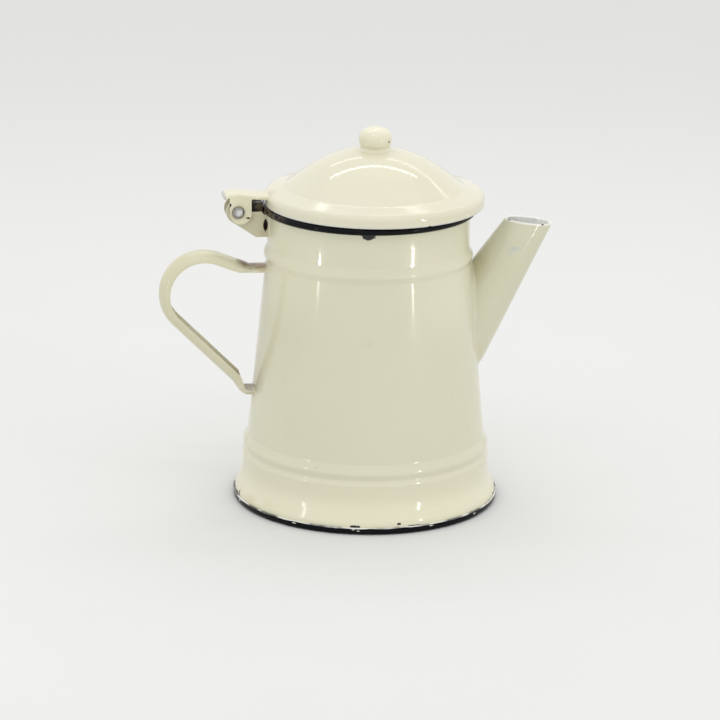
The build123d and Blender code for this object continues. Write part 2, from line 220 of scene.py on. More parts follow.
class Enamel(Finish):
    """Fired enamel: faint clouding, an orange-peel surface, pinholes, chips and stains."""

    def __init__(self, name, cool, warm, chips=(), stains=(), peel=0.022):
        super().__init__(name, 0.09)
        cloud = self.ramp(self.noise(38, 2.0), 0.32, 0.68)
        fine = self.noise(5, 3.0, seed=3.0)
        self.tone = self.mix((cloud * 0.75 + fine * 0.25).clamped(), cool, warm)
        for centre, reach, strength, tint in stains:
            cover = self.patch(centre, reach, soft=0.75, ragged=0.35, grain=4, seed=centre[0])
            self.tone = self.mix(cover * strength, self.tone, tint)
        grime = self.ramp(self.noise(9, 4.0, seed=7.0), 0.62, 0.80)
        self.tone = self.mix(grime * 0.10, self.tone, GRIME)
        holes = {"Vector": self.place, "Scale": 0.11, "Randomness": 1.0}
        far = self.node("ShaderNodeTexVoronoi", "Distance", {}, holes)
        rare = self.ramp(self.noise(26, 1.0, seed=11.0), 0.50, 0.56)
        self.pinholes = self.ramp(far, 0.030, 0.016) * rare
        self.tone = self.mix(self.pinholes * 0.8, self.tone, PINHOLE)
        self.bare = self.patches(chips, soft=0.16, ragged=0.55, grain=1.1, step=1.7)
        broad = self.noise(11, 1.0, seed=5.0) * (peel * 2.4)
        close = self.noise(2.6, 1.0, seed=6.0) * (peel * 0.55)
        self.height = broad + close - self.pinholes * 0.05

    def apply(self, rough=None):
        """Puts colour, chips, gloss and relief on the shader."""
        worn = self.ramp(self.noise(17, 4.0, seed=9.0), 0.45, 0.75)
        gloss = 0.075 + worn * 0.07
        if rough is not None:
            gloss = gloss + rough
        if self.bare is not None:
            rim = self.ramp(self.bare, 0.02, 0.5) * self.ramp(self.bare, 1.0, 0.5)
            self.tone = self.mix(self.ramp(self.bare, 0.35, 0.75), self.tone, GROUND_BLACK)
            self.tone = self.mix(rim * 0.35, self.tone, RUST)
            gloss = gloss + self.bare * 0.35
            self.height = self.height - self.ramp(self.bare, 0.2, 0.8) * 0.12
        self.colour(self.tone)
        self.roughness(gloss)
        self.relief(self.height)
        return self.material

    def inside(self, hidden, tint):
        """Another colour of enamel where hidden is 1, with faint streaks down it."""
        streaks = self.ramp(self.noise(2.2, 3.0, stretch=(1, 1, 9), seed=13.0), 0.4, 0.75)
        self.tone = self.mix(hidden, self.tone, self.mix(streaks * 0.25, tint, INSIDE_STREAK))


def wear(node, material):
    """Gives a CAD node its finish."""
    piece = nodes[node]
    if not piece.material_slots:
        bpy.context.view_layer.objects.active = piece
        bpy.ops.object.material_slot_add()
    for slot in piece.material_slots:
        slot.link = "OBJECT"
        slot.material = material


# Each chip is a centre and a reach in millimetres; a stain adds a strength and a tint.
BODY_CHIPS = [
    ((-60.6, -8.4, 4.6), (0.7, 0.7, 1.9)),
    ((-61.2, -4.0, 3.9), (0.9, 2.4, 0.5)),
    ((-14.2, -59.9, 3.7), (2.2, 1.6, 0.7)),
    ((-12.0, -60.4, 3.6), (0.8, 1.6, 0.8)),
    ((6.7, -60.9, 4.7), (1.0, 1.2, 0.6)),
    ((14.0, -60.0, 3.4), (3.6, 1.6, 0.35)),
    ((58.4, -19.0, 3.8), (1.0, 1.8, 0.5)),
    ((52.0, 32.8, 4.2), (1.6, 1.6, 0.8)),
    ((-20.0, 58.0, 4.4), (2.6, 1.8, 1.0)),
    ((46.8, -17.1, 91.2), (0.45, 0.45, 0.4)),
    ((-7.6, -47.0, 137.4), (3.6, 2.0, 2.1)),
]
BODY_STAINS = [
    ((-57.0, -21.0, 6.0), (6.0, 6.0, 2.6), 0.75, (0.42, 0.22, 0.07)),
    ((-50.3, -33.4, 6.6), (5.0, 5.0, 2.2), 0.55, (0.48, 0.28, 0.10)),
    ((-60.0, -6.0, 7.5), (4.0, 9.0, 3.5), 0.45, (0.45, 0.30, 0.14)),
    ((-56.9, 2.4, 26.0), (4.0, 14.0, 5.0), 0.22, (0.62, 0.42, 0.28)),
    ((-51.0, 0.0, 108.0), (6.0, 12.0, 9.0), 0.28, (0.60, 0.40, 0.24)),
    ((-55.0, 0.0, 50.0), (6.0, 11.0, 9.0), 0.25, (0.58, 0.40, 0.24)),
]
# Radius of the sheet's middle at each height, from the foot over the two beads to the mouth.
WALL_MIDDLE = [
    (0, 60.8), (5, 60.75), (6.2, 60.3), (12.7, 57.75), (15, 57.45), (21.8, 57.4), (24.3, 56.5),
    (27.2, 57.1), (28.6, 56.6), (31.3, 55.1), (114.7, 47.3), (117.2, 48.1), (118.7, 48.0),
    (122, 46.6), (136, 46.6), (139.6, 48),
]
SKIRT_TOP = 32.0
SKIRT_LOW = 8.0
body = Enamel("cream_enamel_body", CREAM, CREAM_AGED, BODY_CHIPS, BODY_STAINS)
# The lower body is painted paler towards the foot: painted light, for the light the floor throws up on it.
skirt_painted_light = body.ramp(body.z, SKIRT_TOP, SKIRT_LOW)
body.tone = body.mix(skirt_painted_light * 0.8, body.tone, SKIRT_PAINTED_LIGHT)
over_middle = body.radius - body.profile(body.z, WALL_MIDDLE)
body.inside(body.ramp(over_middle, 0.15, -0.15), INSIDE_WHITE)
wear("body_shell", body.apply())

# --- Rim hoop ----------------------------------------------------------------------------------
# Rolled edge of the mouth under the lid, dipped in glossy black enamel. Nicks along its lower side
# show bright steel, and behind, by the hinge, the black has worn through to an olive brown.

BLACK = (0.0030, 0.0036, 0.0050)
BLACK_AGED = (0.0050, 0.0050, 0.0055)
HOOP_STEEL = (0.300, 0.270, 0.200)
WORN_OLIVE = (0.105, 0.085, 0.045)


class BlackEnamel(Enamel):
    """Glossy black enamel with nicks down to the steel."""

    def __init__(self, name, nicks=()):
        super().__init__(name, BLACK, BLACK_AGED, peel=0.03)
        self.shader.inputs["Specular IOR Level"].default_value = 0.11
        self.nicks = self.patches(nicks, soft=0.3, ragged=0.6, grain=1.0, step=2.3)

    def steel(self, tint, strength):
        self.tone = self.mix(self.nicks * strength, self.tone, tint)
        self.height = self.height - self.nicks * 0.1


HOOP_NICKS = [
    ((-11.6, -48.3, 137.6), (1.6, 1.5, 0.6)),
    ((-3.6, -49.8, 137.4), (1.2, 1.2, 0.5)),
    ((-24.0, -42.5, 137.2), (1.4, 1.4, 0.5)),
    ((-36.6, -33.0, 137.6), (1.2, 1.2, 0.5)),
    ((14.0, -47.8, 137.4), (1.0, 1.2, 0.5)),
    ((30.5, -38.8, 137.2), (1.8, 1.6, 0.6)),
    ((44.0, -23.0, 137.5), (1.0, 1.4, 0.5)),
    ((20.0, 45.0, 137.6), (1.6, 1.6, 0.7)),
]
SCRAPED_FROM = -41.0
SCRAPED_FULLY = -47.0
hoop = BlackEnamel("black_enamel_hoop", HOOP_NICKS)
hoop.steel(HOOP_STEEL, 0.8)
by_hinge = hoop.ramp(hoop.x, SCRAPED_FROM, SCRAPED_FULLY)
scraped = hoop.ramp(hoop.noise(2.6, 4.0, seed=21.0), 0.44, 0.60) * by_hinge
hoop.tone = hoop.mix(scraped * 0.85, hoop.tone, WORN_OLIVE)
wear("rim_hoop", hoop.apply(scraped * 0.3))

# --- Bottom disc -------------------------------------------------------------------------------
# Pressed disc whose edge is rolled up round the wall: the black band on which the pot stands. The
# The black was wiped on by hand, so its upper edge wanders, with a broken painted highlight along it.

BAND_SPECKS = [
    ((-14.4, -60.4, 2.6), (0.9, 1.2, 0.35)),
    ((-12.2, -60.9, 2.0), (0.7, 1.2, 0.3)),
    ((-40.0, -47.5, 2.4), (1.2, 1.2, 0.4)),
    ((22.0, -58.0, 2.5), (1.4, 1.2, 0.4)),
    ((45.0, -42.5, 2.2), (1.0, 1.2, 0.4)),
    ((-60.9, -12.0, 2.2), (1.2, 1.6, 0.5)),
]
BAND_STEEL = (0.620, 0.600, 0.520)
BAND_EDGE_HIGHLIGHT = (0.800, 0.800, 0.760)
STANDING_STEEL = (0.200, 0.190, 0.180)
BAND_TOP = 3.05
foot = BlackEnamel("black_enamel_foot", BAND_SPECKS)
foot.steel(BAND_STEEL, 0.9)
# A pale line just over the black's wandering edge is a painted highlight, stronger in some places.
edge = foot.z + (foot.noise(7.0, 3.0, seed=31.0) - 0.5) * 1.3
outer = foot.ramp(foot.radius, 60.0, 60.6)
highlight_strength = 0.2 + foot.ramp(foot.noise(9.0, 2.0, seed=34.0), 0.40, 0.60) * 0.8
foot.tone = foot.mix(foot.ramp(edge, BAND_TOP - 0.15, BAND_TOP) * outer * highlight_strength, foot.tone, BAND_EDGE_HIGHLIGHT)
worn_ring = foot.ramp(foot.noise(4.0, 4.0, seed=33.0), 0.48, 0.60) * foot.ramp(foot.z, 0.5, 0.1)
foot.tone = foot.mix(worn_ring * 0.8, foot.tone, STANDING_STEEL)
foot.inside(foot.ramp(foot.z, 0.9, 1.1) * foot.ramp(foot.radius, 58.5, 57.5), INSIDE_WHITE)
wear("bottom_disc", foot.apply(worn_ring * 0.3))

# --- Spout -------------------------------------------------------------------------------------
# Tapered tube rolled from sheet and welded over the strainer holes. Its root is painted darker and
# yellower as painted shade with the body's light on it, its lip has a pale line that is partly a
# chipped edge and partly painted highlight, and inside it is greyish white with streaks, painted
# lighter as painted light in the mouth.

SPOUT_CREAM = (0.620, 0.608, 0.455)
SPOUT_AGED = (0.595, 0.580, 0.420)
SPOUT_INSIDE_LIT = (0.920, 0.920, 0.890)
LIP_WHITE_AND_HIGHLIGHT = (0.860, 0.850, 0.790)
SPOUT_CHIPS = [
    ((65.6, -3.4, 132.3), (0.5, 0.7, 0.35)),
    ((70.3, -5.6, 131.6), (1.0, 0.8, 0.35)),
    ((80.6, -6.0, 130.4), (1.1, 0.8, 0.55)),
]
# The first two patches are painted shade at the root, yellowed like the body's light on it; the rest are
# stains.
SPOUT_STAINS_AND_SHADE = [
    ((50.0, -6.0, 114.0), (8.0, 12.0, 15.0), 0.32, (0.50, 0.45, 0.24)),
    ((46.5, -2.0, 108.0), (5.0, 12.0, 8.0), 0.24, (0.42, 0.34, 0.17)),
    ((67.0, -9.9, 120.0), (3.6, 2.0, 1.7), 0.55, (0.46, 0.52, 0.53)),
    ((65.0, -10.2, 117.5), (1.6, 2.0, 1.6), 0.40, (0.48, 0.53, 0.53)),
    ((52.0, -16.0, 70.0), (9.0, 8.0, 10.0), 0.25, (0.58, 0.52, 0.34)),
]
# The tube's outside is a flat oval at its foot, ruled to a smaller oval at its mouth.
MOUTH_TILT = 0.1228               # fall of the mouth's plane along x
MOUTH_LEVEL = 140.48              # height of the mouth's plane where x is 0
TUBE_LOW = 67.5
TUBE_RISE = 63.7
TUBE_X = (35.7, 39.9)             # each pair is the size at the foot and its change up to the mouth
TUBE_HALF_LENGTH = (20.1, -8.9)
TUBE_HALF_WIDTH = (21.0, -13.5)
TUBE_SHEET_MIDDLE = 0.5
spout = Enamel("cream_enamel_spout", SPOUT_CREAM, SPOUT_AGED, SPOUT_CHIPS, SPOUT_STAINS_AND_SHADE)
# A pale line along the mouth's edge: partly chipped edge, partly painted highlight.
ragged = (spout.noise(1.6, 3.0, seed=35.0) - 0.5) * 1.1
from_mouth = spout.z + spout.x * MOUTH_TILT - MOUTH_LEVEL + ragged
spout.tone = spout.mix(spout.ramp(from_mouth, -0.9, -0.5) * 0.7, spout.tone, LIP_WHITE_AND_HIGHLIGHT)
share = (spout.z - TUBE_LOW) / TUBE_RISE
share = share + share * (spout.x - TUBE_X[0] - share * TUBE_X[1]) * (MOUTH_TILT / TUBE_RISE)
half_width = TUBE_HALF_WIDTH[0] + share * TUBE_HALF_WIDTH[1]
over = (spout.x - TUBE_X[0] - share * TUBE_X[1]) / (TUBE_HALF_LENGTH[0] + share * TUBE_HALF_LENGTH[1])
oval = over.far(spout.y / half_width) + TUBE_SHEET_MIDDLE / half_width
# The inside is painted lighter than the pot's inside: painted light in the mouth.
spout.inside(spout.ramp(oval, 1.012, 0.988), SPOUT_INSIDE_LIT)
wear("spout", spout.apply())

# --- Weld fillets ------------------------------------------------------------------------------
# The enamel runs into every welded joint and fills its corner with a small hollow fillet. Each
# fillet is a ring fitted to the line where the two solids meet, sunk a little into both.

WELD_LIFT = 0.00015
WELD_STEP = 0.0006
WELD_SUNK = 0.00004
WELD_ROOT = 0.0003
WELD_HOLLOW = (0, 0.2, 0.4, 0.6, 0.8, 1)


def surface(node):
    """The node's mesh with its points merged, and a tree for finding places on it."""
    mesh = bmesh.new()
    mesh.from_mesh(nodes[node].data)
    bmesh.ops.remove_doubles(mesh, verts=mesh.verts, dist=1e-6)
    bmesh.ops.triangulate(mesh, faces=mesh.faces)
    mesh.normal_update()
    return mesh, BVHTree.FromBMesh(mesh)


def meeting_lines(node, other, lift=WELD_LIFT):
    """Closed lines on the node's surface that lie a small lift over the other node's surface."""
    mesh, _ = surface(node)
    _, other_tree = surface(other)
    height = {}
    for corner in mesh.verts:
        place, normal, _, _ = other_tree.find_nearest(corner.co)
        height[corner.index] = (corner.co - place).dot(normal) - lift
    crossing = {}
    for side in mesh.edges:
        low, high = (height[corner.index] for corner in side.verts)
        if (low < 0) != (high < 0):
            point = side.verts[0].co.lerp(side.verts[1].co, low / (low - high))
            normal = sum((face.normal for face in side.link_faces), Vector())
            crossing[side.index] = (point, normal.normalized())
    neighbours = {number: [] for number in crossing}
    for face in mesh.faces:
        cut = [side.index for side in face.edges if side.index in crossing]
        if len(cut) == 2:
            neighbours[cut[0]].append(cut[1])
            neighbours[cut[1]].append(cut[0])
    mesh.free()
    lines = []
    left = set(crossing)
    while left:
        here = min(left)
        line = []
        while here is not None:
            left.discard(here)
            line.append(crossing[here])
            here = next((number for number in neighbours[here] if number in left), None)
        lines.append(line)
    return lines


def line_length(line):
    return sum((line[k][0] - line[k - 1][0]).length for k in range(len(line)))


def even_line(line, step, rounds):
    """The line's points and normals at even steps, smoothed along it a number of rounds."""
    points = np.array([point for point, _ in line])
    normals = np.array([normal for _, normal in line])
    points = np.vstack([points, points[:1]])
    normals = np.vstack([normals, normals[:1]])
    run = np.concatenate([[0], np.cumsum(np.linalg.norm(np.diff(points, axis=0), axis=1))])
    at = np.linspace(0, run[-1], max(24, int(run[-1] / step)), endpoint=False)
    points = np.stack([np.interp(at, run, points[:, k]) for k in range(3)], axis=1)
    normals = np.stack([np.interp(at, run, normals[:, k]) for k in range(3)], axis=1)
    for _ in range(rounds):
        normals = (np.roll(normals, 1, 0) + 2 * normals + np.roll(normals, -1, 0)) / 4
        points = (np.roll(points, 1, 0) + 6 * points + np.roll(points, -1, 0)) / 8
    return points, normals


def fillet_rows(node, other, line, leg, rounds):
    """Sections along a fillet: a hollow curve between both surfaces, closed under them."""
    mesh, tree = surface(node)
    _, other_tree = surface(other)
    rows = []
    for point, normal in zip(*even_line(line, WELD_STEP, rounds)):
        corner, wall_normal, _, _ = other_tree.find_nearest(Vector(point))
        piece_normal = Vector(normal).normalized()
        away = (piece_normal - wall_normal * piece_normal.dot(wall_normal)).normalized()
        up = (wall_normal - piece_normal * wall_normal.dot(piece_normal)).normalized()
        low, low_normal, _, _ = other_tree.find_nearest(corner + away * leg)
        high, high_normal, _, _ = tree.find_nearest(corner + up * leg)
        low = low - low_normal * WELD_SUNK
        high = high - high_normal * WELD_SUNK
        row = [low.lerp(corner, t).lerp(corner.lerp(high, t), t) for t in WELD_HOLLOW]
        row.append(high - high_normal * WELD_ROOT)
        row.append(corner - (wall_normal + piece_normal) * WELD_ROOT)
        row.append(low - low_normal * WELD_ROOT)
        rows.append(row)
    mesh.free()
    return rows


def fillet_ring(name, rows, material, rides):
    """A closed ring of enamel through the rows of a fillet."""
    bpy.ops.object.select_all(action="DESELECT")
    turns, sides = len(rows), len(rows[0])
    bpy.ops.mesh.primitive_torus_add(major_segments=turns, minor_segments=sides, generate_uvs=False)
    ring = bpy.context.object
    ring.name = name
    ring.matrix_world = Matrix.Identity(4)
    ring.data.vertices.foreach_set("co", np.array(rows, np.float32).ravel())
    bpy.ops.object.mode_set(mode="EDIT")
    bpy.ops.mesh.select_all(action="SELECT")
    bpy.ops.mesh.normals_make_consistent(inside=False)
    bpy.ops.object.mode_set(mode="OBJECT")
    bpy.ops.object.shade_smooth()
    ring.data.materials.append(material)
    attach(ring, rides)


spout_line = max(meeting_lines("spout", "body_shell"), key=line_length)
spout_rows = fillet_rows("spout", "body_shell", spout_line, 0.0022, 6)
fillet_ring("spout_weld", spout_rows, spout.material, "pot")

# --- Handle ------------------------------------------------------------------------------------
# Gutter-shaped strap pressed from sheet, its two ends flattened and welded to the wall. The hollow
# side is painted dark olive as painted shade, and rust has gathered in the pockets at both ends.

HANDLE_CREAM = (0.640, 0.620, 0.455)
HANDLE_AGED = (0.615, 0.590, 0.415)
GUTTER_SHADE = (0.270, 0.225, 0.100)
HANDLE_STAINS = [
    ((-56.5, 0.0, 114.5), (8.0, 9.0, 4.5), 1.0, (0.120, 0.068, 0.022)),
    ((-51.5, -2.0, 113.4), (6.0, 6.5, 3.0), 0.80, (0.200, 0.115, 0.040)),
    ((-61.5, -4.5, 117.2), (5.0, 2.2, 1.8), 0.60, (0.330, 0.220, 0.090)),
    ((-56.6, 3.0, 54.5), (6.5, 7.0, 8.5), 1.0, (0.130, 0.070, 0.018)),
    ((-60.5, 2.0, 60.5), (4.5, 4.5, 7.0), 0.55, (0.300, 0.200, 0.085)),
    ((-50.4, -5.9, 110.0), (3.0, 3.0, 4.0), 0.35, (0.560, 0.350, 0.200)),
]
HANDLE_CHIPS = [
    ((-92.6, 6.3, 96.0), (1.2, 0.9, 2.2)),
    ((-75.0, -6.4, 118.2), (1.6, 0.8, 0.8)),
]
# The strap's section is half an oval. It stands on the flange edge, a fixed way out from the bow.
BOW_MIDDLE = (-77.2, 0, 100)
LEG_OUT = (-0.7034, 0, -0.7108)
LEG_DOWN = (0.7108, 0, -0.7034)
FLANGE_EDGE = 15.8
SHEET_MIDDLE_DEPTH = 4.2
SHEET_MIDDLE_HALF_WIDTH = 5.9
handle = Enamel("cream_enamel_handle", HANDLE_CREAM, HANDLE_AGED, HANDLE_CHIPS, HANDLE_STAINS)
leg_out = handle.along(BOW_MIDDLE, LEG_OUT)
deep = leg_out.far(handle.along(BOW_MIDDLE, LEG_DOWN).least(0.0))
half_oval = ((deep - FLANGE_EDGE) / SHEET_MIDDLE_DEPTH).far(handle.y / SHEET_MIDDLE_HALF_WIDTH)
# The hollow inside the gutter, below the flange's edge, is painted darker: painted shade.
below_flange = handle.ramp(deep, FLANGE_EDGE + 0.7, FLANGE_EDGE + 1.4)
gutter_shade = handle.ramp(half_oval, 1.03, 0.97) * below_flange
cloud = handle.ramp(handle.noise(6, 4.0, seed=41.0), 0.35, 0.72)
handle.tone = handle.mix(gutter_shade * (0.60 + cloud * 0.35), handle.tone, GUTTER_SHADE)
wear("handle", handle.apply(gutter_shade * cloud * 0.10))
handle_lines = meeting_lines("handle", "body_shell")
HANDLE_ENDS = [("handle_upper_weld", 0.08, 0.14), ("handle_lower_weld", 0.02, 0.08)]
for name, low, high in HANDLE_ENDS:
    here = [line for line in handle_lines if low < line[0][0].z < high]
    rows = fillet_rows("handle", "body_shell", max(here, key=line_length), 0.0012, 4)
    fillet_ring(name, rows, handle.material, "pot")

# --- Hinge bracket -----------------------------------------------------------------------------
# Bent sheet with two cheeks, notched round the hoop and welded to the neck. It lies in the lid's
# shade, and its cream is painted darker than the body's as painted shade. Between the cheeks by the
# neck it is painted near black as painted shade, as is a patch at the top of the far cheek under the
# tab; brown patches darken the near cheek under the ear and round the drain hole.

BRACKET_CREAM_SHADED = (0.560, 0.535, 0.390)
BRACKET_AGED_SHADED = (0.530, 0.500, 0.340)
BRACKET_INNER_SHADE = (0.030, 0.024, 0.016)
# The patch at the top of the far cheek is painted shade under the tab; the other two darken the near cheek.
BRACKET_STAINS_AND_SHADE = [
    ((-58.0, -4.5, 136.0), (6.0, 2.0, 3.0), 0.45, (0.36, 0.26, 0.13)),
    ((-52.1, 4.5, 139.2), (4.0, 3.0, 2.0), 0.60, (0.20, 0.14, 0.07)),
    ((-49.5, -4.5, 129.0), (3.0, 2.0, 3.0), 0.30, (0.45, 0.34, 0.20)),
]
CHEEK_MIDDLE = 3.6
bracket = Enamel("cream_enamel_bracket", BRACKET_CREAM_SHADED, BRACKET_AGED_SHADED, (), BRACKET_STAINS_AND_SHADE)
# Between the cheeks by the neck the enamel is painted near black: painted shade inside the bracket.
between_cheeks = bracket.ramp(bracket.y.size(), CHEEK_MIDDLE + 0.15, CHEEK_MIDDLE - 0.15)
by_neck = bracket.ramp(bracket.x, -57.5, -55.5)
bracket.tone = bracket.mix(between_cheeks * by_neck, bracket.tone, BRACKET_INNER_SHADE)
wear("hinge_bracket", bracket.apply())

# --- Bracket fold ------------------------------------------------------------------------------
# The bracket's top is folded up between the cheeks and hooked over the back of the hoop. It was
# dipped with the hoop, and its black has worn to olive brown, with a grey line along the crest that
# is partly bare steel and partly painted highlight.

FOLD_OLIVE = (0.110, 0.090, 0.048)
FOLD_STEEL_AND_HIGHLIGHT = (0.300, 0.310, 0.330)
FOLD_CREST = (143.2, 143.9)
FOLD_HALF_WIDTH = 0.0043
FOLD_ROUND = 0.0006
# Its outline from the side, in millimetres: x behind the pot's middle and height.
FOLD_OUTLINE = [
    (-49.9, 139.3), (-49.9, 141.6), (-50.2, 143.6), (-51.5, 144.6), (-53.6, 144.4),
    (-55.2, 142.9), (-56.0, 140.0), (-55.6, 138.4), (-52.0, 138.3),
]
fold_finish = BlackEnamel("black_enamel_fold")
rubbed = fold_finish.ramp(fold_finish.noise(2.2, 4.0, seed=71.0), 0.40, 0.58)
fold_finish.tone = fold_finish.mix(rubbed * 0.8, fold_finish.tone, FOLD_OLIVE)
ragged = (fold_finish.noise(1.5, 3.0, seed=72.0) - 0.5) * 1.2
# The grey along the top: partly bare steel, partly painted highlight.
crest_steel_and_highlight = fold_finish.ramp(fold_finish.z + ragged, *FOLD_CREST)
fold_finish.tone = fold_finish.mix(crest_steel_and_highlight * 0.8, fold_finish.tone, FOLD_STEEL_AND_HIGHLIGHT)
fold_finish.apply(rubbed * 0.3)
bpy.ops.object.select_all(action="DESELECT")
upright = (math.pi / 2, 0, 0)
bpy.ops.mesh.primitive_circle_add(vertices=len(FOLD_OUTLINE), fill_type="NGON", rotation=upright)
fold = bpy.context.object
fold.name = "bracket_fold"
bpy.ops.object.transform_apply(location=False, rotation=True, scale=False)
for corner, (x, z) in zip(fold.data.vertices, FOLD_OUTLINE):
    corner.co = (x / 1000, FOLD_HALF_WIDTH, z / 1000)
bpy.ops.object.mode_set(mode="EDIT")
bpy.ops.mesh.select_all(action="SELECT")
bpy.ops.mesh.extrude_region_move(TRANSFORM_OT_translate={"value": (0, -2 * FOLD_HALF_WIDTH, 0)})
bpy.ops.mesh.select_all(action="SELECT")
bpy.ops.mesh.normals_make_consistent(inside=False)
bpy.ops.object.mode_set(mode="OBJECT")
rounding = fold.modifiers.new("rounding", "BEVEL")
rounding.width = FOLD_ROUND
rounding.segments = 3
rounding.limit_method = "NONE"
bpy.ops.object.modifier_apply(modifier="rounding")
bpy.ops.object.shade_smooth_by_angle(angle=math.radians(35))
fold.data.materials.append(fold_finish.material)
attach(fold, "pot")

# --- Bracket weld ------------------------------------------------------------------------------
# The bracket's flat end touches the round neck only along its middle. The enamel fills the thin
# wedge left at both sides and makes a small fillet all round.

WEDGE_LIFT = 0.0003
FOOT_X = -0.049
bracket_lines = meeting_lines("hinge_bracket", "body_shell", WEDGE_LIFT)
bracket_line = next(line for line in bracket_lines if line[0][0].x > FOOT_X)
bracket_rows = fillet_rows("hinge_bracket", "body_shell", bracket_line, 0.0009, 2)
fillet_ring("bracket_weld", bracket_rows, body.material, "pot")

# --- Hinge rivet -------------------------------------------------------------------------------
# Aluminium pin set cold, with a domed head each side. It is dull and finely scratched, and brown
# soiling fills the line where the head meets the ear. Its head is painted darker towards its rim and
# lighter in the middle: painted shade and painted highlight.

RIVET_DARK = (0.620, 0.620, 0.600)
RIVET_BRIGHT = (0.800, 0.800, 0.790)
RIVET_RIM_SHADE = (0.220, 0.215, 0.200)
RIVET_SOIL = (0.130, 0.085, 0.045)
PIVOT = (-61.6, 0, 139.4)
rivet = Finish("rivet_aluminium", 0.34, 1.0)
from_axis = rivet.distance(PIVOT, (1, 0, 1))
soiled = rivet.ramp(from_axis + (rivet.noise(1.2, 3.0) - 0.5) * 1.2, 2.3, 2.9)
scuffs = rivet.noise(0.9, 4.0, stretch=(3, 1, 0.5), seed=2.0)
bright = rivet.mix(rivet.ramp(scuffs, 0.35, 0.7), RIVET_DARK, RIVET_BRIGHT)
# Darker towards the head's rim, lighter in its middle: painted shade and painted highlight.
bright = rivet.mix(rivet.ramp(from_axis, 0.6, 2.2) * 0.85, bright, RIVET_RIM_SHADE)
rivet.colour(rivet.mix(soiled * 0.8, bright, RIVET_SOIL))
rivet.metal(1.0 - soiled * 0.8)
rivet.roughness(0.17 + scuffs * 0.12 + soiled * 0.3)
rivet.relief(scuffs * 0.02)
wear("hinge_rivet", rivet.material)

# --- Lid ---------------------------------------------------------------------------------------
# Pressed dome with a turned-down brim, enamelled a shade warmer than the body. By the hinge the
# coat has gone from the corner down to grey steel; underneath it is greyish white.

LID_CREAM = (0.695, 0.672, 0.530)
LID_AGED = (0.685, 0.655, 0.495)
LID_CHIPS = [
    ((-50.5, -4.0, 142.2), (1.6, 2.6, 0.9)),
    ((-50.9, 6.0, 141.9), (1.4, 3.0, 0.8)),
    ((20.0, -46.9, 141.7), (1.4, 1.2, 0.35)),
]
LID_STAINS = [((-47.5, -3.0, 147.0), (5.0, 7.0, 3.0), 0.35, (0.45, 0.36, 0.22))]
# The lid's outside round its own middle: an arc over the crown, a straight flank down to the
# valley, and a brim that slopes on and turns down.
LID_MIDDLE = (2.4, 0, 0)
CROWN_MIDDLE = (0.43, 114.05)
CROWN_BEND = 53.0
VALLEY = (41.9, 149.4)
FLANK_SLOPE = 0.7293
BRIM_SLOPE = 0.261
BRIM_SIDE = 51.1
BRIM_ROUND = 3.4
lid = Enamel("cream_enamel_lid", LID_CREAM, LID_AGED, LID_CHIPS, LID_STAINS)
lid_radius = lid.distance(LID_MIDDLE, (1, 1, 0))
crown = (lid_radius - CROWN_MIDDLE[0]).far(lid.z - CROWN_MIDDLE[1]) - CROWN_BEND
past_valley = lid_radius - VALLEY[0]
over_valley = lid.z - VALLEY[1]
flank = (over_valley + past_valley * FLANK_SLOPE) / math.hypot(1, FLANK_SLOPE)
dome = flank + (crown - flank) * lid.ramp(lid_radius, 33.0, 30.0)
brim = (over_valley + past_valley * BRIM_SLOPE) / math.hypot(1, BRIM_SLOPE)
side = (lid_radius - BRIM_SIDE + BRIM_ROUND).most(0.0)
rounded = (brim + BRIM_ROUND).most(0.0).far(side) - BRIM_ROUND
depth = dome.least(rounded)
lid.inside(lid.ramp(depth, -0.35, -0.65), INSIDE_WHITE)
wear("lid", lid.apply())

# --- Lid collar --------------------------------------------------------------------------------
# Plain ring under the lid that drops into the neck and centres it, enamelled like the lid's
# underside and rubbed grey where it touches the neck.

COLLAR_AGED = (0.580, 0.575, 0.530)
COLLAR_RUBBED = (0.300, 0.280, 0.240)
collar = Enamel("white_enamel_collar", INSIDE_WHITE, COLLAR_AGED)
rubbed = collar.ramp(collar.noise(5, 4.0, stretch=(1, 1, 0.4), seed=51.0), 0.50, 0.66)
collar.tone = collar.mix(rubbed * 0.45, collar.tone, COLLAR_RUBBED)
wear("lid_collar", collar.apply(rubbed * 0.2))

# --- Lid knob ----------------------------------------------------------------------------------
# Hollow pressed knob welded to the crown and enamelled with it. It has a small chip on its side
# and a little brown in the line where it meets the crown.

# The knob's cream is painted lighter than the lid's: painted light on the top of the pot.
KNOB_CREAM_LIT = (0.750, 0.725, 0.560)
KNOB_AGED_LIT = (0.735, 0.705, 0.530)
KNOB_CHIPS = [((8.0, -5.2, 171.0), (0.65, 0.65, 0.5))]
KNOB_STAINS = [((0.0, -7.0, 168.0), (9.0, 4.0, 1.4), 0.30, (0.50, 0.42, 0.26))]
knob = Enamel("cream_enamel_knob", KNOB_CREAM_LIT, KNOB_AGED_LIT, KNOB_CHIPS, KNOB_STAINS)
wear("lid_knob", knob.apply())

# --- Hinge leaf --------------------------------------------------------------------------------
# Tab welded to the lid, with an ear each side of the bracket. Its edges are chipped to bare steel
# and the ears carry brown soiling round the rivet heads.

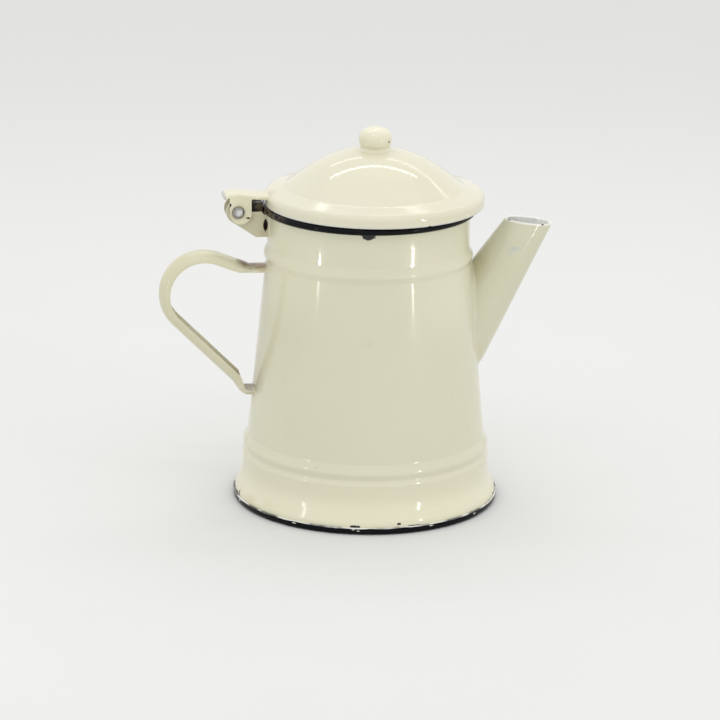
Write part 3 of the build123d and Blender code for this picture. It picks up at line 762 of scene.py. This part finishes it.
# The leaf's cream is painted lighter than the lid's, for the lit ears: painted light.
LEAF_CREAM_LIT = (0.715, 0.695, 0.510)
LEAF_AGED_LIT = (0.690, 0.665, 0.470)
LEAF_STEEL = (0.500, 0.490, 0.460)
LEAF_CHIPS = [
    ((-67.4, -3.0, 146.4), (0.7, 2.0, 0.7)),
    ((-65.6, -6.1, 142.9), (0.8, 0.8, 1.1)),
    ((-57.0, -6.1, 136.7), (1.0, 0.8, 0.5)),
    ((-50.8, -5.4, 144.6), (1.2, 1.2, 0.9)),
]
LEAF_STAINS = [((-61.6, -6.0, 139.4), (4.3, 2.0, 4.3), 0.65, (0.28, 0.185, 0.085))]
leaf = Enamel("cream_enamel_leaf", LEAF_CREAM_LIT, LEAF_AGED_LIT, LEAF_CHIPS, LEAF_STAINS)
ragged = (leaf.noise(1.4, 3.0, seed=61.0) - 0.5) * 1.4
bare_edge = leaf.ramp(leaf.x + ragged, -67.0, -67.4)
leaf.tone = leaf.mix(bare_edge * 0.8, leaf.tone, LEAF_STEEL)
wear("hinge_leaf", leaf.apply(bare_edge * 0.2))
leaf_line = max(meeting_lines("hinge_leaf", "lid"), key=line_length)
leaf_rows = fillet_rows("hinge_leaf", "lid", leaf_line, 0.0010, 3)
fillet_ring("leaf_weld", leaf_rows, leaf.material, "lid")

# --- Floor -------------------------------------------------------------------------------------
# Plain pale studio floor of matt paper, with the pot's soft shadow on it. It reaches far enough
# to fill every view.

PAPER_COOL = (0.735, 0.735, 0.725)
PAPER_WARM = (0.750, 0.750, 0.740)
FLOOR_LEVEL = (0, 0, -0.0001)
bpy.ops.mesh.primitive_circle_add(vertices=96, radius=12, fill_type="NGON", location=FLOOR_LEVEL)
floor = bpy.context.object
floor.name = "studio_floor"
paper = Finish("pale_paper", 0.85)
paper.shader.inputs["Specular IOR Level"].default_value = 0.0
paper.colour(paper.mix(paper.noise(60, 3.0), PAPER_COOL, PAPER_WARM))
floor.data.materials.append(paper.material)

# --- Light -------------------------------------------------------------------------------------
# A pale surround gives even light from all sides and a wide soft box overhead lifts the lid.
# Narrow strips put the small bright lines on the gloss. Places are in metres, powers in watts.

world = bpy.data.worlds.new("studio")
bpy.context.scene.world = world
world.use_nodes = True
surround = world.node_tree.nodes["Background"]
surround.inputs["Color"].default_value = (1.0, 1.0, 1.0, 1.0)
surround.inputs["Strength"].default_value = 1.0


def lamp(name, place, aim, width, span, power):
    """A rectangular lamp that looks at a point, with its span across its line of sight."""
    bpy.ops.object.light_add(type="AREA", location=place)
    light = bpy.context.object
    light.name = name
    light.data.shape = "RECTANGLE"
    light.data.size = span
    light.data.size_y = width
    light.data.energy = power
    light.rotation_euler = (Vector(aim) - Vector(place)).to_track_quat("-Z", "Y").to_euler()
    return light


# Two upright strips: turn from the camera in degrees, distance, lower end and upper end.
UPRIGHT_STRIPS = [("left", -53, 0.45, 0.062, 0.20), ("right", 49, 0.90, 0.014, 0.36)]
STRIP_WIDTH = 0.022               # width for each metre of distance
STRIP_POWER = 2.2                 # power for each metre of height, at a metre's distance
NECK_AIM = (0, 0, 0.131)
CAMERA_AZIMUTH = math.atan2(-1.5541, -0.2462)
for side_name, turn, far, low, high in UPRIGHT_STRIPS:
    azimuth = CAMERA_AZIMUTH + math.radians(turn)
    aside = Vector((math.cos(azimuth), math.sin(azimuth), 0))
    middle = aside * far + Vector((0, 0, (low + high) / 2))
    aim = (0, 0, middle.z - far * 0.1)
    power = STRIP_POWER * far * far * (high - low)
    lamp(f"strip_{side_name}", middle, aim, high - low, STRIP_WIDTH * far, power)
    glint_place = aside * 0.44 + Vector((0, 0, 0.012))
    glint = lamp(f"neck_glint_{side_name}", glint_place, NECK_AIM, 0.012, 0.010, 0.0004)
    glint.data.spread = math.radians(9)
lamp("soft_box_top", (0.02, 0.16, 0.83), (0.02, 0.16, 0), 0.48, 0.80, 0.42)
lamp("strip_top", (0.05, 0.405, 0.82), (0, 0, 0.16), 0.035, 0.83, 0.6)
lamp("strip_front", (-0.07, -0.47, 0.80), (0, 0, 0.14), 0.03, 0.60, 0.45)
lamp("strip_back", (0.175, 0.50, 0.62), (0, 0, 0.15), 0.03, 0.80, 0.18)

# --- Camera ------------------------------------------------------------------------------------
# Long lens a little above the pot, as the photograph was taken: it looks down by the pitch, to
# the right by the yaw, and is rolled by under a degree.

CAMERA_PLACE = (-0.2462, -1.5541, 0.5348)
PITCH, YAW, ROLL = (math.radians(angle) for angle in (16.62, 8.89, 0.90))
forward = Vector((math.sin(YAW) * math.cos(PITCH), math.cos(YAW) * math.cos(PITCH), -math.sin(PITCH)))
level = Vector((math.cos(YAW), -math.sin(YAW), 0))
above = level.cross(forward)
right = level * math.cos(ROLL) + above * math.sin(ROLL)
up = above * math.cos(ROLL) - level * math.sin(ROLL)
view = Matrix((right, up, -forward)).transposed().to_4x4()
view.translation = CAMERA_PLACE
bpy.ops.object.camera_add()
camera = bpy.context.object
camera.matrix_world = view
camera.data.lens = 175
camera.data.sensor_width = 36
camera.data.clip_end = 100
bpy.context.scene.camera = camera
bpy.context.scene.view_settings.view_transform = "Standard"
